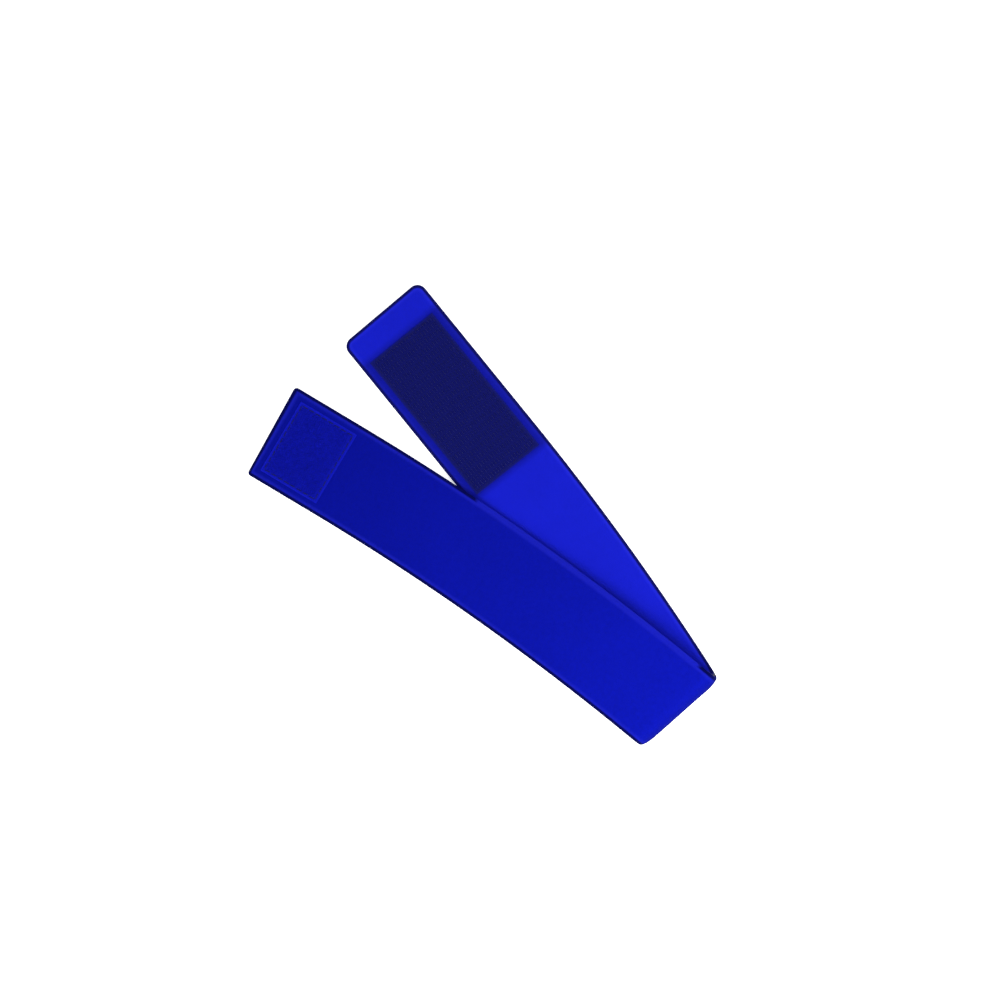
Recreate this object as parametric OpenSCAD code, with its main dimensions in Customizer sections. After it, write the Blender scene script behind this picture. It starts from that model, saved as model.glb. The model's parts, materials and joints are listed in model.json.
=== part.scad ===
// Hook-and-loop eyewear strap: one flat foam strap, folded once near its middle.
// The lower leg lies on its outer face and ends in the hook tab. The upper leg lies
// across it with its outer face up and ends in the loop tab. +X runs from the tabs
// to the fold, +Z is up, and the origin is under the middle of the whole outline.

/* [Strap] */
// Width of the strap
strap_w = 40; // [32:1:50]
// Length of the strap when it is opened flat
strap_l = 403; // [390:1:420]
// Distance from the hook end to the fold, along the strap
crease_at = 202; // [195:1:210]
// Thickness of the cloth on the outer face
outer_t = 0.6; // [0.4:0.1:0.8]
// Thickness of the foam core
foam_t = 2.0; // [1.5:0.1:3]
// Thickness of the cloth on the inner face
inner_t = 0.4; // [0.3:0.1:0.6]

/* [Fold and lie] */
// Bend radius of the fold, at the middle of the thickness
fold_r = 5.0; // [4:0.5:7]
// Angle between the fold line and a square-cut fold line, degrees
skew = 8.9; // [8.7:0.1:10]
// Turn of the fold line away from Y, degrees
crease_turn = -4.8; // [-7:0.1:-3]
// Sideways bow of the lower leg, degrees
lower_bow = 6.5; // [5:0.1:8]
// Sideways bow of the upper leg, degrees
upper_bow = 8.7; // [7:0.1:10]
// Roll of the upper leg where it leaves the lower leg's edge, degrees
roll_most = 3.6; // [3:0.1:4]

/* [Hook tape] */
// Length of the hook tape
hook_l = 68; // [62:1:70]
// Width of the hook tape
hook_w = 32; // [25:1:33]
// Distance from the hook end to the hook tape
hook_setback = 13; // [12:0.5:14]
// Thickness of the woven backing
hook_base_t = 0.5; // [0.4:0.1:0.7]
// Height of the hooks above the backing
hook_h = 1.1; // [0.8:0.1:1.4]
// Corner radius of the strap at the hook end
hook_end_r = 4; // [2:0.5:6]
// How far the cut at the hook end is from square, degrees
hook_end_slant = 1; // [0:0.5:3]

/* [Loop tape] */
// Length of the loop tape
loop_l = 26; // [20:1:27]
// Width of the loop tape
loop_w = 32; // [25:1:33]
// Distance from the loop end to the loop tape
loop_setback = 4.4; // [2:0.2:5]
// Thickness of the woven backing
loop_base_t = 0.4; // [0.3:0.1:0.6]
// Height of the loop pile above the backing
loop_h = 1.0; // [0.8:0.1:1.4]
// Corner radius of the strap at the loop end
loop_end_r = 1.5; // [0.5:0.5:3]
// How far the cut at the loop end is from square, degrees
loop_end_slant = 2; // [0:0.5:3]

/* [Seams and flex lines] */
// Distance from the edge of a tape to its seam
seam_inset = 1.2; // [1:0.1:1.6]
// Length of one stitch, hole to hole
stitch = 3.0; // [2.4:0.2:4]
// Thread thickness
thread_d = 0.4; // [0.3:0.05:0.5]
// Distance from the hook end to the line where the hook tab flexes
hook_flex_at = 72; // [71:0.25:72]
// Distance from the loop end to the line where the loop tab flexes
loop_flex_at = 31; // [31:1:35]
// Gap between neighbouring sections of the strap
flex_gap = 0.25; // [0.2:0.05:0.4]
// Bare run of hook tape on each side of the flex line, so that its hooks stay apart
hook_clear = 1; // [0.9:0.1:2]

/* [Hidden] */

OUTER_BLUE = [0.06, 0.08, 0.66];
INNER_BLUE = [0.10, 0.13, 0.76];
FOAM_DARK = [0.03, 0.03, 0.12];
HOOK_NAVY = [0.06, 0.07, 0.36];
THREAD_NAVY = [0.04, 0.05, 0.30];

half_w = strap_w / 2;
strap_t = outer_t + foam_t + inner_t;

// Heights through the strap: negative at the outer face, positive at the inner face.
outer_face = -strap_t / 2;
foam_outer = outer_face + outer_t;
foam_inner = strap_t / 2 - inner_t;
inner_face = strap_t / 2;

// The fold is a half turn about a level line. Its ends are where the legs begin.
axis_z = fold_r + strap_t / 2;
fold_outer_r = fold_r + strap_t / 2;
half_fold = fold_r * PI / 2;
fold_use = half_fold / cos(skew);
lower_run = crease_at - fold_use;
upper_run = strap_l - crease_at - fold_use;
lower_from = 180 + crease_turn - skew;
upper_from = 180 + crease_turn + skew;
out_dir = [cos(crease_turn), sin(crease_turn)];
crease_dir = [-sin(crease_turn), cos(crease_turn)];
leg_offset = crease_dir * half_fold * tan(skew);

// Section lines swing from the fold line's direction to square across within this run.
square_run = 24;
lower_arc = lower_run - hook_flex_at;
upper_arc = upper_run - loop_flex_at;

// Heights of the upper leg's middle line: off the fold, on the lower leg, on the table.
// Its roll lifts the edge that lies on the lower leg, so the middle line sinks a little.
lap_sink = 0.35;
table_z = strap_t / 2;
lap_z = strap_t * 1.5 - lap_sink;
fold_top_z = axis_z + fold_r;
lap_from = 105;
lap_to = 106;
roll_from = 55;
roll_peak = 122;

// The two hinge lines of the fold stand at these turns of the half circle.
first_hinge = 45;
second_hinge = 135;
gap_turn = flex_gap / 2 / fold_outer_r * 180 / PI;

function unit(a) = [cos(a), sin(a)];
function ease(t) = (1 - cos(180 * min(max(t, 0), 1))) / 2;
function span(from, to, n) = [for (i = [0:n]) from + (to - from) * i / n];

// Middle line of a leg: an arc that turns by bow over its run, then straight.
function leg_heading(from, bow, run, d) = from + bow * min(d / run, 1);
function leg_middle(start, from, bow, run, d) =
    let (a = leg_heading(from, bow, run, d), r = run / (bow * PI / 180))
    start + r * [sin(a) - sin(from), cos(from) - cos(a)] + max(d - run, 0) * unit(a);
function section_turn(d) = skew * (1 - ease(d / square_run));

function lower_xy(d, v) =
    let (a = leg_heading(lower_from, lower_bow, lower_arc, d))
    leg_middle(leg_offset, lower_from, lower_bow, lower_arc, d)
    + v * (unit(a - 90) + tan(section_turn(d)) * unit(a));
function upper_xy(d, v) =
    let (a = leg_heading(upper_from, upper_bow, upper_arc, d))
    leg_middle(-leg_offset, upper_from, upper_bow, upper_arc, d)
    + v * (unit(a - 90) - tan(section_turn(d)) * unit(a));

function upper_z(d) = table_z + (lap_z - table_z) * (1 - ease((d - lap_from) / (upper_arc - lap_from)))
    + (fold_top_z - lap_z) * (1 - ease(d / lap_to));
function roll(d) = d < roll_peak
    ? roll_most * ease((d - roll_from) / (roll_peak - roll_from))
    : roll_most * (1 - ease((d - roll_peak) / (upper_arc - roll_peak)));

// The origin is put under the middle of the outline, from the four extreme places.
function corner_back(r, slant, side) = r / cos(slant) - side * (half_w - r) * tan(slant);
function hook_corner_at(side) = lower_xy(
    lower_run - corner_back(hook_end_r, hook_end_slant, side), side * (half_w - hook_end_r));
function loop_corner_at(side) = upper_xy(
    upper_run - corner_back(loop_end_r, loop_end_slant, side), side * (half_w - loop_end_r));
hook_corner = hook_corner_at(1);
loop_corner_y = loop_corner_at(-1);
loop_corner_x = loop_corner_at(1);
x_most = fold_outer_r * out_dir.x + half_w / cos(skew) * crease_dir.x;
x_least = loop_corner_x.x - loop_end_r;
y_most = hook_corner.y + hook_end_r;
y_least = loop_corner_y.y - loop_end_r;
middle = [(x_most + x_least) / 2, (y_most + y_least) / 2];

function lower_point(d, v, h) = let (p = lower_xy(d, v) - middle) [p.x, p.y, table_z + h];
function upper_point(d, v, h) =
    let (p = upper_xy(d, v) - middle) [p.x, p.y, upper_z(d) + v * tan(roll(d)) - h];
function fold_point(turn, v, h) =
    let (a = fold_r * (turn - 90) * PI / 180, r = fold_r - h,
         p = out_dir * r * sin(turn) + crease_dir * (v - a * sin(skew)) / cos(skew) - middle)
    [p.x, p.y, axis_z - r * cos(turn)];

// Each body's stations along the strap, as [kind, place].
lower_stations = concat(
    [for (turn = span(first_hinge - gap_turn, 0, 5)) ["fold", turn]],
    [for (d = span(0, square_run, 6)) if (d > 0) ["lower", d]],
    [for (d = span(square_run, lower_arc - flex_gap / 2, 10)) if (d > square_run) ["lower", d]]
);
fold_stations = [
    for (turn = span(first_hinge + gap_turn, second_hinge - gap_turn, 10)) ["fold", turn]
];
upper_stations = concat(
    [for (turn = span(second_hinge + gap_turn, 180, 5)) ["fold", turn]],
    [for (d = span(0, square_run, 6)) if (d > 0) ["upper", d]],
    [for (d = span(square_run, upper_arc - flex_gap / 2, 18)) if (d > square_run) ["upper", d]]
);

function place(station, v, h) = station[0] == "fold" ? fold_point(station[1], v, h)
    : station[0] == "lower" ? lower_point(station[1], v, h)
    : upper_point(station[1], v, h);
function ring(station, low, high) = [
    place(station, -half_w, low), place(station, half_w, low),
    place(station, half_w, high), place(station, -half_w, high)
];

// One layer of a curved stretch of the strap, between two heights. Both of its broad
// faces are split along the same diagonals, so that two layers meet on one surface.
SKIN = [
    [0, 1, 5], [0, 5, 4], [1, 2, 6], [1, 6, 5],
    [2, 3, 6], [3, 7, 6], [3, 0, 4], [3, 4, 7]
];
module layer(stations, low, high) {
    last = 4 * (len(stations) - 1);
    polyhedron(
        points = [for (s = stations) each ring(s, low, high)],
        faces = concat(
            [[3, 2, 1, 0]],
            [for (first = [0:4:last - 4], corners = SKIN) [for (k = corners) first + k]],
            [[for (k = [0:3]) last + k]]
        ),
        convexity = 6
    );
}

// A flat tab seen from above: square where it joins the leg, rounded at its free end.
// Its own y runs the other way to the strap's v.
module tab_outline(run, r, slant) {
    y = half_w - r;
    left = run - corner_back(r, slant, 1);
    right = run - corner_back(r, slant, -1);
    reach = r * [cos(slant), sin(slant)];
    polygon([
        [flex_gap / 2, -half_w], [left, -half_w], [left, -y] + reach,
        [right, y] + reach, [right, half_w], [flex_gap / 2, half_w]
    ]);
    translate([left, -y]) circle(r, $fn = 48);
    translate([right, y]) circle(r, $fn = 48);
}

// The tabs lie flat on the table, so their places are a shift and a turn.
module on_hook_tab() {
    p = lower_xy(lower_arc, 0) - middle;
    translate([p.x, p.y, 0]) rotate(lower_from + lower_bow) children();
}
module on_loop_tab() {
    p = upper_xy(upper_arc, 0) - middle;
    translate([p.x, p.y, 0]) rotate(upper_from + upper_bow) children();
}
module hook_tab_layer(bottom, thick) {
    translate([0, 0, bottom]) linear_extrude(thick)
        tab_outline(hook_flex_at, hook_end_r, hook_end_slant);
}
module loop_tab_layer(bottom, thick) {
    translate([0, 0, bottom]) linear_extrude(thick)
        tab_outline(loop_flex_at, loop_end_r, loop_end_slant);
}

// A plate of a tape, from x0 to x1 along its tab and w wide. The hook tape is longer
// than its tab: it runs on past the flex line, where x is less than 0, as the tail.
module plate(x0, x1, w, bottom, thick) {
    translate([x0, -w / 2, bottom]) cube([x1 - x0, w, thick]);
}

hook_x1 = hook_flex_at - hook_setback;
hook_x0 = hook_x1 - hook_l;
loop_x1 = loop_flex_at - loop_setback;
loop_x0 = loop_x1 - loop_l;
pile_rim = seam_inset + 0.8;
seam_corner = 0.4;
seam_clear = 0.5;

// One straight side of a seam: a short length of thread from needle hole to needle hole.
module stitch_row(from, to, z) {
    l = norm(to - from);
    n = round(l / stitch);
    gap = 0.5;
    for (i = [0:n - 1])
        translate([from.x, from.y, z])
        rotate([0, 90, atan2(to.y - from.y, to.x - from.x)])
        translate([0, 0, i * l / n + gap / 2])
        cylinder(h = l / n - gap, d = thread_d, $fn = 16);
}
module side_rows(x0, x1, y, z) {
    for (side = [-1, 1]) stitch_row([x0, side * y], [x1, side * y], z);
}
module end_row(x, y, z) {
    stitch_row([x, -y + seam_corner], [x, y - seam_corner], z);
}

hook_seam_y = hook_w / 2 - seam_inset;
module hook_tab_seam(z) {
    x1 = hook_x1 - seam_inset;
    side_rows(seam_clear, x1 - seam_corner, hook_seam_y, z);
    end_row(x1, hook_seam_y, z);
}
module hook_tail_seam(z) {
    x0 = hook_x0 + seam_inset;
    side_rows(x0 + seam_corner, -seam_clear, hook_seam_y, z);
    end_row(x0, hook_seam_y, z);
}
module loop_seam(z) {
    x0 = loop_x0 + seam_inset;
    x1 = loop_x1 - seam_inset;
    y = loop_w / 2 - seam_inset;
    side_rows(x0 + seam_corner, x1 - seam_corner, y, z);
    end_row(x0, y, z);
    end_row(x1, y, z);
}

thread_sunk = thread_d / 4;
thread_low = thread_d / 2 + 0.02;

module lower_outer_cloth() { color(OUTER_BLUE) layer(lower_stations, outer_face, foam_outer); }
module lower_foam_core() { color(FOAM_DARK) layer(lower_stations, foam_outer, foam_inner); }
module lower_inner_cloth() { color(INNER_BLUE) layer(lower_stations, foam_inner, inner_face); }

module hook_tail_backing() {
    color(HOOK_NAVY) on_hook_tab()
        plate(hook_x0, -flex_gap / 2, hook_w, strap_t, hook_base_t);
}
module hook_tail_field() {
    color(HOOK_NAVY) on_hook_tab()
        plate(hook_x0 + pile_rim, -hook_clear, hook_w - 2 * pile_rim, strap_t + hook_base_t, hook_h);
}
module hook_tail_needle_thread() {
    color(THREAD_NAVY) on_hook_tab() hook_tail_seam(strap_t + hook_base_t + thread_sunk);
}
module hook_tail_bobbin_thread() {
    color(THREAD_NAVY) on_hook_tab() hook_tail_seam(thread_low);
}

module hook_tab_outer_cloth() {
    color(OUTER_BLUE) on_hook_tab() hook_tab_layer(0, outer_t);
}
module hook_tab_foam_core() {
    color(FOAM_DARK) on_hook_tab() hook_tab_layer(outer_t, foam_t);
}
module hook_tab_inner_cloth() {
    color(INNER_BLUE) on_hook_tab() hook_tab_layer(outer_t + foam_t, inner_t);
}
module hook_tape_backing() {
    color(HOOK_NAVY) on_hook_tab()
        plate(flex_gap / 2, hook_x1, hook_w, strap_t, hook_base_t);
}
module hook_field() {
    color(HOOK_NAVY) on_hook_tab()
        plate(hook_clear, hook_x1 - pile_rim, hook_w - 2 * pile_rim, strap_t + hook_base_t, hook_h);
}
module hook_tape_needle_thread() {
    color(THREAD_NAVY) on_hook_tab() hook_tab_seam(strap_t + hook_base_t + thread_sunk);
}
module hook_tape_bobbin_thread() {
    color(THREAD_NAVY) on_hook_tab() hook_tab_seam(thread_low);
}

module fold_outer_cloth() { color(OUTER_BLUE) layer(fold_stations, outer_face, foam_outer); }
module fold_foam_core() { color(FOAM_DARK) layer(fold_stations, foam_outer, foam_inner); }
module fold_inner_cloth() { color(INNER_BLUE) layer(fold_stations, foam_inner, inner_face); }

module upper_outer_cloth() { color(OUTER_BLUE) layer(upper_stations, outer_face, foam_outer); }
module upper_foam_core() { color(FOAM_DARK) layer(upper_stations, foam_outer, foam_inner); }
module upper_inner_cloth() { color(INNER_BLUE) layer(upper_stations, foam_inner, inner_face); }

module loop_tab_outer_cloth() {
    color(OUTER_BLUE) on_loop_tab() loop_tab_layer(inner_t + foam_t, outer_t);
}
module loop_tab_foam_core() {
    color(FOAM_DARK) on_loop_tab() loop_tab_layer(inner_t, foam_t);
}
module loop_tab_inner_cloth() {
    color(INNER_BLUE) on_loop_tab() loop_tab_layer(0, inner_t);
}
module loop_tape_backing() {
    color(OUTER_BLUE) on_loop_tab()
        plate(loop_x0, loop_x1, loop_w, strap_t, loop_base_t);
}
module loop_pile() {
    color(OUTER_BLUE) on_loop_tab()
        plate(loop_x0 + pile_rim, loop_x1 - pile_rim, loop_w - 2 * pile_rim, strap_t + loop_base_t, loop_h);
}
module loop_tape_needle_thread() {
    color(THREAD_NAVY) on_loop_tab() loop_seam(strap_t + loop_base_t + thread_sunk);
}
module loop_tape_bobbin_thread() {
    color(THREAD_NAVY) on_loop_tab() loop_seam(thread_low);
}

lower_outer_cloth();
lower_foam_core();
lower_inner_cloth();
hook_tail_backing();
hook_tail_field();
hook_tail_needle_thread();
hook_tail_bobbin_thread();
hook_tab_outer_cloth();
hook_tab_foam_core();
hook_tab_inner_cloth();
hook_tape_backing();
hook_field();
hook_tape_needle_thread();
hook_tape_bobbin_thread();
fold_outer_cloth();
fold_foam_core();
fold_inner_cloth();
upper_outer_cloth();
upper_foam_core();
upper_inner_cloth();
loop_tab_outer_cloth();
loop_tab_foam_core();
loop_tab_inner_cloth();
loop_tape_backing();
loop_pile();
loop_tape_needle_thread();
loop_tape_bobbin_thread();
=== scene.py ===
"""A hook-and-loop eyewear strap: bonded cloth and foam, sewn tapes and thread.

The strap is worked out flat, in millimetres, as three numbers for every point:
  q  where it is along the strap: 0 at the fold, less towards the hook end
  v  where it is across the strap: 0 in the middle
  h  where it is in the thickness: less at the outer face, more at the inner face
Strap.lay then folds those points and lies them on the table, in metres.
"""

import json
import math
import random

import bpy
import numpy as np
from bpy.props import FloatProperty, FloatVectorProperty, PointerProperty
from bpy.types import Operator, Panel, PropertyGroup
from mathutils import Matrix, Vector


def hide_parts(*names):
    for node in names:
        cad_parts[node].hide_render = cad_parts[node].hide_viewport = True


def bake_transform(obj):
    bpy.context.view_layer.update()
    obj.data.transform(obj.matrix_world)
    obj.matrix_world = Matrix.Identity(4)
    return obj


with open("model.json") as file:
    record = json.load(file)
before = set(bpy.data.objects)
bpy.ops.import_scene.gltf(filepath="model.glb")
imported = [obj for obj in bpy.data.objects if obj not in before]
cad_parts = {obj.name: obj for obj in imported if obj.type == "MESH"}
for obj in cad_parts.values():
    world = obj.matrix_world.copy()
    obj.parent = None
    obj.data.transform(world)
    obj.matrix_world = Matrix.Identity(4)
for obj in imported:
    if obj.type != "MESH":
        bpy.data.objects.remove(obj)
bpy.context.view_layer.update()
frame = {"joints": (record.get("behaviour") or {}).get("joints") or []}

bl_info = {
    "name": "Hook-and-loop eyewear strap",
    "version": (1, 0, 0),
    "blender": (4, 5, 0),
    "location": "View3D > Sidebar > Strap",
    "description": "Builds a folded foam strap with a sewn hook tape and loop tape",
    "category": "Object",
}

MM = 0.001
JOINTS = {joint["name"]: joint for joint in frame["joints"]}


# ---- sizes and colours


def size(name, about, default, low, high):
    """A length that a user can change, given here in millimetres."""
    return FloatProperty(
        name=name, description=about, unit="LENGTH", precision=5,
        default=default * MM, min=low * MM, max=high * MM,
    )


def turn(name, about, default, low, high):
    """An angle that a user can change, given here in degrees."""
    return FloatProperty(
        name=name, description=about, subtype="ANGLE", precision=4,
        default=math.radians(default), min=math.radians(low), max=math.radians(high),
    )


def colour(name, about, default):
    """A linear colour that a user can change."""
    return FloatVectorProperty(
        name=name, description=about, default=default, subtype="COLOR", min=0, max=1
    )


class StrapSizes(PropertyGroup):
    """The cut strap, its tapes and its seams."""

    width: size("Width", "Width of the strap", 40, 30, 50)
    length: size("Length", "Length of the flat strap", 403, 390, 420)
    fold_at: size("Fold at", "Distance from the hook end to the fold", 202, 195, 210)
    outer_t: size("Outer cloth", "Thickness of the outer cloth", 0.6, 0.4, 0.8)
    foam_t: size("Foam", "Thickness of the foam core", 2.0, 1.5, 3)
    inner_t: size("Inner cloth", "Thickness of the inner cloth", 0.4, 0.3, 0.6)
    hook_end_r: size("Hook end corner", "Corner radius at the hook end", 4, 2, 6)
    loop_end_r: size("Loop end corner", "Corner radius at the loop end", 1.5, 0.5, 3)
    hook_end_slant: turn("Hook end slant", "Turn of its cut away from square", 1, 0, 3)
    loop_end_slant: turn("Loop end slant", "Turn of its cut away from square", 2, 0, 3)
    hook_l: size("Hook tape length", "Length of the hook tape", 68, 62, 70)
    hook_w: size("Hook tape width", "Width of the hook tape", 32, 25, 33)
    hook_setback: size("Hook tape setback", "From the end to the tape", 13, 12, 14)
    hook_base_t: size("Hook tape ground", "Thickness of its weave", 0.5, 0.4, 0.7)
    hook_h: size("Hook height", "Height of the hooks", 1.1, 0.8, 1.4)
    loop_l: size("Loop tape length", "Length of the loop tape", 26, 20, 27)
    loop_w: size("Loop tape width", "Width of the loop tape", 32, 25, 33)
    loop_setback: size("Loop tape setback", "From the end to the tape", 4.4, 2, 5)
    loop_base_t: size("Loop tape ground", "Thickness of its weave", 0.4, 0.3, 0.6)
    loop_h: size("Loop height", "Height of the loops", 1.0, 0.8, 1.4)
    seam_inset: size("Seam inset", "From the edge of a tape to its seam", 1.2, 1, 1.6)
    stitch: size("Stitch", "Length of one stitch", 3.0, 2.4, 4)
    thread_d: size("Thread", "Thickness of the sewing thread", 0.42, 0.3, 0.5)


class StrapLie(PropertyGroup):
    """How the strap is folded and how it lies on the table."""

    fold_r: size("Fold radius", "Bend radius in the middle of the strap", 5, 4, 7)
    skew: turn("Skew", "How far the fold is from square across", 8.9, 8.7, 10)
    crease_turn: turn("Crease turn", "Turn of the fold line away from Y", -4.8, -7, -3)
    lower_bow: turn("Lower bow", "Sideways bow of the lower leg", 6.5, 5, 8)
    upper_bow: turn("Upper bow", "Sideways bow of the upper leg", 8.7, 7, 10)
    roll: turn("Roll", "Roll of the upper leg at the lower leg's edge", 3.6, 3, 4)
    hook_flex_at: size("Hook flex line", "From the hook end", 72, 71, 72)
    loop_flex_at: size("Loop flex line", "From the loop end", 31, 31, 35)
    edge_round: size("Edge rounding", "How far the cut edges are pressed in", 0.45, 0, 0.6)
    seam_pull: size("Seam pull", "How far a seam draws the foam in", 0.38, 0, 0.6)
    dent: size("Dents", "Depth of the foam's soft dents", 0.09, 0, 0.2)


class StrapColours(PropertyGroup):
    """Base colours, before each material's own variation and the painted shade and highlight on
    the cloths.
    """

    outer: colour("Outer cloth", "Brushed knit on the outer face", (0.0016, 0.0042, 0.245))
    inner: colour("Inner cloth", "Smooth knit on the inner face", (0.0032, 0.0065, 0.335))
    foam: colour("Foam", "Closed-cell core", (0.003, 0.003, 0.016))
    hook: colour("Hook tape", "Navy hook tape", (0.003, 0.0045, 0.09))
    loop: colour("Loop tape", "Blue loop tape", (0.0018, 0.0045, 0.28))
    thread: colour("Thread", "Sewing thread", (0.002, 0.003, 0.06))
    floor: colour("Floor", "Pale table top", (0.86, 0.86, 0.86))


class Plain:
    """Reads a property group's lengths in millimetres and its turns in degrees."""

    def __init__(self, group):
        self.group = group

    def __getattr__(self, key):
        value = getattr(self.group, key)
        if self.group.bl_rna.properties[key].subtype == "ANGLE":
            return round(math.degrees(value), 3)
        return round(value / MM, 3)


GROUPS = {"strap_sizes": StrapSizes, "strap_lie": StrapLie, "strap_colours": StrapColours}


def sizes():
    return Plain(bpy.context.scene.strap_sizes)


def lie():
    return Plain(bpy.context.scene.strap_lie)


def colours():
    return bpy.context.scene.strap_colours


# ---- the strap's shape


def ease(t):
    """0 to 1 along half a cosine, level at both ends."""
    return (1 - np.cos(np.pi * np.clip(t, 0, 1))) / 2


def heading(degrees):
    return np.stack([np.cos(np.radians(degrees)), np.sin(np.radians(degrees))], axis=-1)


class Strap:
    """The folded strap: from flat places (q, v, h) to places on the table."""

    SQUARE_RUN = 24  # section lines turn from the fold's way to square in this run
    LAP_SINK = 0.35  # the rolled leg's middle sinks this far below the lower leg's top
    LAP_FROM = 105  # the upper leg leaves the lower leg from here on
    LAP_TO = 106  # it has come down from the fold by here
    ROLL_FROM = 55  # the upper leg begins to roll sideways here
    ROLL_PEAK = 122  # and is rolled most here
    SOFT_EDGE = 6  # the fold's edges draw in over this width
    SOFT_DRAW = 1.0  # and by this much at the very edge
    SLANT_RUN = {"hook": 10, "loop": 3}  # an end's slant fades out in this run

    def __init__(self):
        s, a = sizes(), lie()
        self.half_w = s.width / 2
        self.t = s.outer_t + s.foam_t + s.inner_t
        self.fold_r, self.skew = a.fold_r, a.skew
        self.axis_z = a.fold_r + self.t / 2
        self.half_fold = a.fold_r * math.pi / 2
        self.fold_use = self.half_fold / math.cos(math.radians(a.skew))
        self.hook_end, self.loop_end = -s.fold_at, s.length - s.fold_at
        self.lower_run = -self.hook_end - self.fold_use
        self.upper_run = self.loop_end - self.fold_use
        self.upper_arc = self.upper_run - a.loop_flex_at
        self.lap_run = self.upper_arc - self.LAP_FROM
        across = 180 + a.crease_turn
        self.legs = {  # first heading, bow, bowed length and side of the fold's middle
            "lower": (across - a.skew, a.lower_bow, self.lower_run - a.hook_flex_at, 1),
            "upper": (across + a.skew, a.upper_bow, self.upper_arc, -1),
        }
        self.roll_most = a.roll
        self.end_r = {"hook": s.hook_end_r, "loop": s.loop_end_r}
        self.slant = {"hook": s.hook_end_slant, "loop": s.loop_end_slant}
        self.out_dir = heading(a.crease_turn)
        self.crease_dir = heading(a.crease_turn + 90)
        self.table_z = self.t / 2
        self.lap_z = self.t * 1.5 - self.LAP_SINK
        self.top_z = self.axis_z + a.fold_r
        self.middle = self.outline_middle()

    def outline_middle(self):
        """The middle of the outline on the table, from its four extreme places."""
        reach = self.half_w / math.cos(math.radians(self.skew))
        x_most = self.axis_z * self.out_dir[0] + reach * self.crease_dir[0]
        x_least = self.corner("upper", 1)[0] - self.end_r["loop"]
        y_least = self.corner("upper", -1)[1] - self.end_r["loop"]
        y_most = self.corner("lower", 1)[1] + self.end_r["hook"]
        return np.array([x_most + x_least, y_most + y_least]) / 2

    def corner(self, leg, side):
        """The centre of a rounded corner at a leg's free end."""
        end, run = ("hook", self.lower_run) if leg == "lower" else ("loop", self.upper_run)
        r, slant = self.end_r[end], math.radians(self.slant[end])
        across = side * (self.half_w - r)
        return self.leg_xy(leg, run - r / math.cos(slant) + across * math.tan(slant), across)

    def slanted(self, q, v):
        """Moves places near a free end along the strap, so that its cut has its slant."""
        for end, place, sign in (("hook", self.hook_end, -1), ("loop", self.loop_end, 1)):
            near = 1 - ease(np.abs(q - place) / self.SLANT_RUN[end])
            q = q + sign * near * v * math.tan(math.radians(self.slant[end]))
        return q

    def section_turn(self, d):
        return self.skew * (1 - ease(np.asarray(d) / self.SQUARE_RUN))

    def leg_xy(self, leg, d, v):
        """Where a leg is on the table, d from the fold along it and v across it."""
        start, bow, run, side = self.legs[leg]
        d, v = np.asarray(d, float)[..., None], np.asarray(v, float)[..., None]
        angle = start + bow * np.clip(d / run, 0, 1)
        radius = run / math.radians(bow)
        a, a0 = np.radians(angle), math.radians(start)
        arc = np.concatenate([np.sin(a) - math.sin(a0), math.cos(a0) - np.cos(a)], axis=-1)
        along, across = heading(angle[..., 0]), heading(angle[..., 0] - 90)
        offset = side * self.half_fold * math.tan(math.radians(self.skew))
        middle = offset * self.crease_dir + radius * arc + np.maximum(d - run, 0) * along
        swing = np.tan(np.radians(self.section_turn(d)))
        return middle + v * (across + side * swing * along)

    def upper_z(self, d):
        lap = (self.lap_z - self.table_z) * (1 - ease((d - self.LAP_FROM) / self.lap_run))
        return self.table_z + lap + (self.top_z - self.lap_z) * (1 - ease(d / self.LAP_TO))

    def roll(self, d):
        rising = ease((d - self.ROLL_FROM) / (self.ROLL_PEAK - self.ROLL_FROM))
        falling = 1 - ease((d - self.ROLL_PEAK) / (self.upper_arc - self.ROLL_PEAK))
        return self.roll_most * np.where(d < self.ROLL_PEAK, rising, falling)

    def lay(self, q, v, h):
        """Folds flat places and lies them on the table. Metres, one row each."""
        q, v, h = (np.asarray(x, float) for x in np.broadcast_arrays(q, v, h))
        angle = np.radians(90 * np.clip(q / self.fold_use, -1, 1) + 90)
        arc = self.fold_r * (angle - math.pi / 2)
        edge = np.clip((np.abs(v) - self.half_w + self.SOFT_EDGE) / self.SOFT_EDGE, 0, 1)
        r = self.fold_r - h
        out = (r - self.SOFT_DRAW * edge**2) * np.sin(angle)
        tilt = math.radians(self.skew)
        along = (v - arc * math.sin(tilt)) / math.cos(tilt)
        xy = out[:, None] * self.out_dir + along[:, None] * self.crease_dir
        z = self.axis_z - r * np.cos(angle)
        lower, upper = q < -self.fold_use, q > self.fold_use
        d = np.abs(q) - self.fold_use
        xy = np.where(lower[:, None], self.leg_xy("lower", d, v), xy)
        xy = np.where(upper[:, None], self.leg_xy("upper", d, v), xy)
        z = np.where(lower, self.table_z + h, z)
        rolled = self.upper_z(d) + v * np.tan(np.radians(self.roll(d))) - h
        z = np.where(upper, rolled, z)
        return np.column_stack([xy - self.middle, z]) * MM

    def flat(self, q, v):
        """Where a point is on the flat cut strap, in millimetres from the hook end."""
        d = np.abs(q) - self.fold_use
        swing = np.tan(np.radians(np.where(d < 0, self.skew, self.section_turn(d))))
        return q - v * swing - self.hook_end

    def ends(self, q):
        """For each free end, its corner radius and how far a point is from it."""
        return (self.end_r["hook"], q - self.hook_end), (self.end_r["loop"], self.loop_end - q)

    def end_half_width(self, q):
        """Half the strap's width, less at a rounded end."""
        wide = np.full_like(q, self.half_w)
        for r, depth in self.ends(q):
            short = np.clip(r - depth, 0, r)
            wide = wide - (r - np.sqrt(r * r - short * short))
        return wide

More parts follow.
